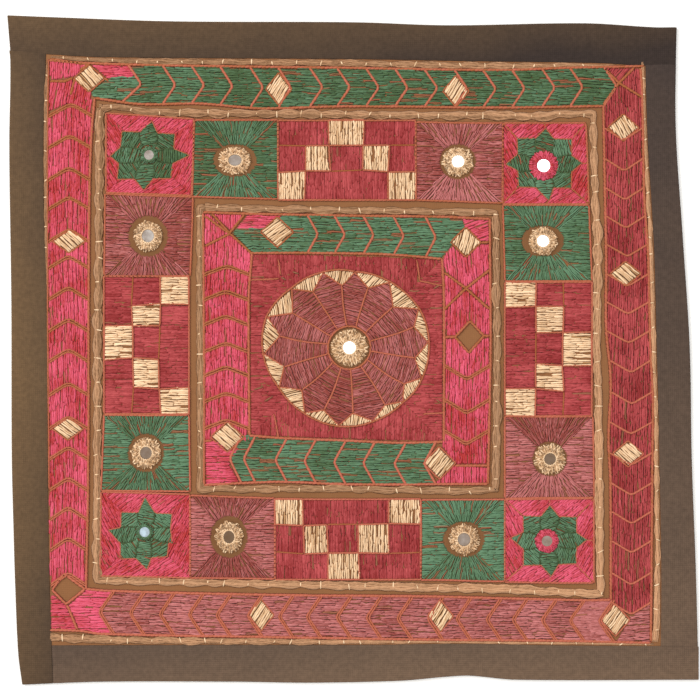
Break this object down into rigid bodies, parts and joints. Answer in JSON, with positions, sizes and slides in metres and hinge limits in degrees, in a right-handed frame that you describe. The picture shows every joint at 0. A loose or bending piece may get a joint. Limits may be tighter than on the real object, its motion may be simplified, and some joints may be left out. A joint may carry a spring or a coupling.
{
  "type": "embroidered mirror-work table square",
  "caption": "Flat cotton square with satin-stitched frames of chevrons, checks, stars and a rosette, small stitched-on round mirrors, couched cords and dark folded cotton borders.",
  "frame": {"origin": "middle of the whole square's box, on its flat underside", "axes": "+X to the right and +Y up on the embroidered face, as the picture shows it; +Z out of the embroidered face"},
  "size_m": [0.4152, 0.402, 0.0031],
  "materials": {
    "satin_floss": "satin-stitched cotton floss in crimson, pink, green, mauve and ivory on brown cotton",
    "border_cotton": "matt plain-woven cotton, folded double, faded brown-charcoal",
    "cord_floss": "loose tan floss laid in a bundle and couched",
    "mirror_glass": "thin silvered glass, slightly uneven",
    "ring_thread": "buttonhole stitches of ivory and coloured floss"
  },
  "bodies": {
    "root": {"panel": "satin_floss", "border_top": "border_cotton", "border_left": "border_cotton", "border_bottom": "border_cotton", "border_right": "border_cotton", "cord_outer_top": "cord_floss", "cord_outer_right": "cord_floss", "cord_outer_bottom": "cord_floss", "cord_outer_left": "cord_floss", "cord_middle_top": "cord_floss", "cord_middle_right": "cord_floss", "cord_middle_bottom": "cord_floss", "cord_middle_left": "cord_floss", "cord_inner_top": "cord_floss", "cord_inner_right": "cord_floss", "cord_inner_bottom": "cord_floss", "cord_inner_left": "cord_floss", "mirror_01": "mirror_glass", "mirror_02": "mirror_glass", "mirror_03": "mirror_glass", "mirror_04": "mirror_glass", "mirror_05": "mirror_glass", "mirror_06": "mirror_glass", "mirror_07": "mirror_glass", "mirror_08": "mirror_glass", "mirror_09": "mirror_glass", "mirror_10": "mirror_glass", "mirror_11": "mirror_glass", "mirror_12": "mirror_glass", "mirror_13": "mirror_glass", "ring_01": "ring_thread", "ring_02": "ring_thread", "ring_03": "ring_thread", "ring_04": "ring_thread", "ring_05": "ring_thread", "ring_06": "ring_thread", "ring_07": "ring_thread", "ring_08": "ring_thread", "ring_09": "ring_thread", "ring_10": "ring_thread", "ring_11": "ring_thread", "ring_12": "ring_thread", "ring_13": "ring_thread"}
  },
  "joints": []
}
